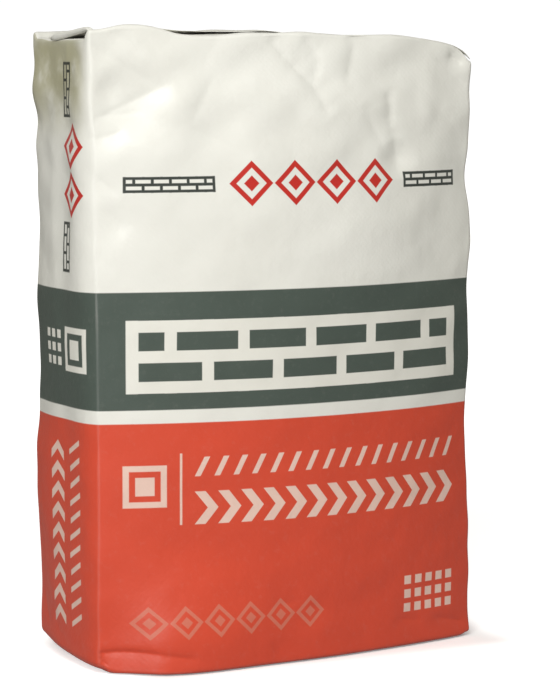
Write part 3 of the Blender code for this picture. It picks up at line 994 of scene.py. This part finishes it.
def printed_fabric():
    """White, dark and red bands with generic motifs: bricks, diamonds, chevrons and squares."""
    nodes = Nodes("printed_fabric")
    _, (u, height, _) = nodes.uv("print")
    panel = nodes.math("ROUND", u)
    s = nodes.math("SUBTRACT", u, panel)
    narrow = nodes.math("FLOORED_MODULO", panel, 2.0)
    on_side = nodes.under(panel, 3.5)
    colour = bands(nodes, height)
    inks = (DARK_INK, RED_INK, PALE_INK, LIGHT_INK, PINK_INK)
    masks = zip(inks, wide_print(nodes, s, height), narrow_print(nodes, s, height))
    for ink, wide_mask, narrow_mask in masks:
        both = nodes.add("ShaderNodeMix", {0: narrow, 2: wide_mask, 3: narrow_mask}).outputs[0]
        colour = nodes.mix(nodes.all_of(both, on_side), colour, ink)
    place = nodes.add("ShaderNodeTexCoord").outputs["Object"]
    patches = nodes.noise(place, 30.0, 3.0, 0.6)
    # Ink rubbed off along the folds, also a painted highlight on them, strongest in a band about 0.318 m up.
    fold = nodes.add("ShaderNodeAttribute", attribute_name="fold").outputs["Fac"]
    worn_and_glint = nodes.ramp(nodes.math("ADD", fold, patches), 0.72, 1.20)
    glint_band = nodes.within(height, 0.318, 0.014, 0.014)
    worn_and_glint = nodes.all_of(worn_and_glint, nodes.math("MULTIPLY_ADD", glint_band, 0.15, 0.06))
    colour = nodes.mix(worn_and_glint, colour, WORN_INK_AND_GLINT)
    # Painted shade: the fabric darkens towards the floor over its lowest few millimetres, in uneven patches.
    foot_shade = nodes.ramp(nodes.math("MULTIPLY_ADD", patches, 0.010, height), 0.0125, 0.0050)
    colour = nodes.mix(nodes.math("MULTIPLY", foot_shade, 0.14), colour, FOOT_SHADE)
    # Cement dust and painted shade: the valve side's upper part is darker and warmer, away from its front
    # fold.
    dust_and_shade = nodes.all_of(
        nodes.within(panel, 3.0, 0.5),
        nodes.ramp(height, 0.455, 0.520),
        nodes.math("SUBTRACT", 1.0, nodes.math("MULTIPLY", nodes.ramp(height, 0.545, 0.560), 0.4)),
        nodes.ramp(s, 0.062, 0.040),
        nodes.ramp(patches, 0.10, 0.60),
    )
    dust_and_shade_colour = nodes.mix(1.0, colour, VALVE_DUST_AND_SHADE, "MULTIPLY")
    return finish_fabric(nodes, nodes.mix(dust_and_shade, colour, dust_and_shade_colour))


def plain_fabric():
    nodes = Nodes("patch_fabric")
    return finish_fabric(nodes, WHITE)


def film():
    nodes = Nodes("sleeve_film")
    # Its dark grey is partly painted shade inside the valve's mouth.
    return finish_fabric(nodes, FILM_AND_MOUTH_SHADE)


def area_light(name, place, target, size, power, colour=(1.0, 1.0, 1.0)):
    data = bpy.data.lights.new(name, "AREA")
    data.shape = "RECTANGLE"
    data.size, data.size_y = size
    data.energy = power
    data.color = colour
    light = bpy.data.objects.new(name, data)
    bpy.context.scene.collection.objects.link(light)
    light.location = place
    light.rotation_mode = "QUATERNION"
    light.rotation_quaternion = (Vector(target) - Vector(place)).to_track_quat("-Z", "Y")


def seen_and_lighting(tree, seen, lighting, output):
    """Joins one shader for what is seen of the stage and a weaker one for the light that it gives off."""
    path = tree.nodes.new("ShaderNodeLightPath")
    pick = tree.nodes.new("ShaderNodeMixShader")
    tree.links.new(path.outputs["Is Camera Ray"], pick.inputs[0])
    tree.links.new(lighting.outputs[0], pick.inputs[1])
    tree.links.new(seen.outputs[0], pick.inputs[2])
    tree.links.new(pick.outputs[0], output.inputs["Surface"])


def make_floor():
    """A pale floor that glows plain white further away; beside the sack its glow is lowered, a painted shade
    under the soft shadow that the lights cast.
    """
    nodes = Nodes("studio_floor")
    place = nodes.add("ShaderNodeTexCoord").outputs["Object"]
    distance = nodes.add("ShaderNodeVectorMath", {0: place}, operation="LENGTH").outputs["Value"]
    beside = place
    nothing = (0.0, 0.0, 0.0)
    steps = (("SUBTRACT", SHADE_MIDDLE), ("ABSOLUTE", None), ("SUBTRACT", SHADE_HALF), ("MAXIMUM", nothing))
    for operation, other in steps:
        beside = nodes.add("ShaderNodeVectorMath", {0: beside, 1: other}, operation=operation).outputs[0]
    beside = nodes.add("ShaderNodeVectorMath", {0: beside}, operation="LENGTH").outputs["Value"]
    # Painted shade: the floor's glow drops in a box round the sack's foot.
    glow = nodes.math("MULTIPLY_ADD", nodes.ramp(beside, *NEAR_FADE), FLOOR_GLOW - NEAR_GLOW, NEAR_GLOW)
    glow = nodes.math("MULTIPLY_ADD", nodes.ramp(distance, *FLOOR_FADE), 1.0 - FLOOR_GLOW, glow)
    nodes.put(nodes.shader.inputs["Emission Strength"], glow)
    nodes.shader.inputs["Base Color"].default_value = (0.90, 0.90, 0.89, 1.0)
    nodes.shader.inputs["Roughness"].default_value = 0.9
    nodes.shader.inputs["Emission Color"].default_value = (1.0, 1.0, 1.0, 1.0)
    dim = nodes.add("ShaderNodeBsdfDiffuse", {"Color": (0.52, 0.52, 0.52, 1.0)})
    seen_and_lighting(nodes.tree, nodes.shader, dim, nodes.tree.nodes["Material Output"])
    half = FLOOR_SIZE / 2.0
    points = np.array([(-half, -half, 0.0), (half, -half, 0.0), (half, half, 0.0), (-half, half, 0.0)])
    floor = mesh_object("floor", points, np.array([[0, 1, 2, 3]]))
    floor.data.materials.append(nodes.material)


def make_world():
    """White behind the object, a weaker warm white that lights it, and one between that it reflects."""
    world = bpy.data.worlds.new("studio")
    bpy.context.scene.world = world
    world.use_nodes = True
    tree = world.node_tree
    soft = tree.nodes["Background"]
    soft.inputs["Color"].default_value = WORLD_TINT
    path = tree.nodes.new("ShaderNodeLightPath")
    strength = tree.nodes.new("ShaderNodeMapRange")
    tree.links.new(path.outputs["Is Glossy Ray"], strength.inputs["Value"])
    strength.inputs["To Min"].default_value = WORLD_LIGHT
    strength.inputs["To Max"].default_value = WORLD_REFLECTION
    tree.links.new(strength.outputs[0], soft.inputs["Strength"])
    white = tree.nodes.new("ShaderNodeBackground")
    white.inputs["Color"].default_value = (1.0, 1.0, 1.0, 1.0)
    white.inputs["Strength"].default_value = 1.05
    seen_and_lighting(tree, white, soft, tree.nodes["World Output"])


def around(azimuth, distance, height):
    """A place at an azimuth from the front panel towards the valve side."""
    turn = math.radians(azimuth)
    return -distance * math.sin(turn), -distance * math.cos(turn), height


def make_lights():
    """A large soft key from the front left, a low strip beside it, and a weak light high in front."""
    key = around(KEY_AZIMUTH, KEY_DISTANCE, KEY_HEIGHT)
    area_light("key", key, (0.0, 0.0, 0.30), (1.1, 1.1), KEY_POWER, (1.0, 0.995, 0.985))
    strip = around(STRIP_AZIMUTH, STRIP_DISTANCE, 0.60)
    area_light("strip", strip, (0.0, 0.0, 0.30), (0.4, 1.3), STRIP_POWER)
    area_light("overhead", (0.55, -0.90, 1.75), (0.0, 0.0, 0.30), (0.9, 0.9), OVERHEAD_POWER)


def make_camera():
    forward = Vector((math.sin(CAMERA_YAW), math.cos(CAMERA_YAW), 0.0))
    right = Vector((math.cos(CAMERA_YAW), -math.sin(CAMERA_YAW), 0.0))
    data = bpy.data.cameras.new("camera")
    data.lens = LENS
    camera = bpy.data.objects.new("camera", data)
    bpy.context.scene.collection.objects.link(camera)
    camera.location = Vector((MIDDLE_X, 0.0, EYE_HEIGHT)) + right * CAMERA_ASIDE - forward * CAMERA_DISTANCE
    look = forward * math.cos(CAMERA_TILT) - Vector((0.0, 0.0, math.sin(CAMERA_TILT)))
    camera.rotation_mode = "QUATERNION"
    camera.rotation_quaternion = look.to_track_quat("-Z", "Y")
    bpy.context.scene.camera = camera


def main():
    finishes = {"printed_fabric": printed_fabric(), "patch_fabric": plain_fabric(), "sleeve_film": film()}
    for piece in main_pieces():
        piece.data.materials.append(finishes[piece["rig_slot"]])
    make_floor()
    make_world()
    make_lights()
    make_camera()
    bpy.context.scene.view_settings.view_transform = "Standard"


main()
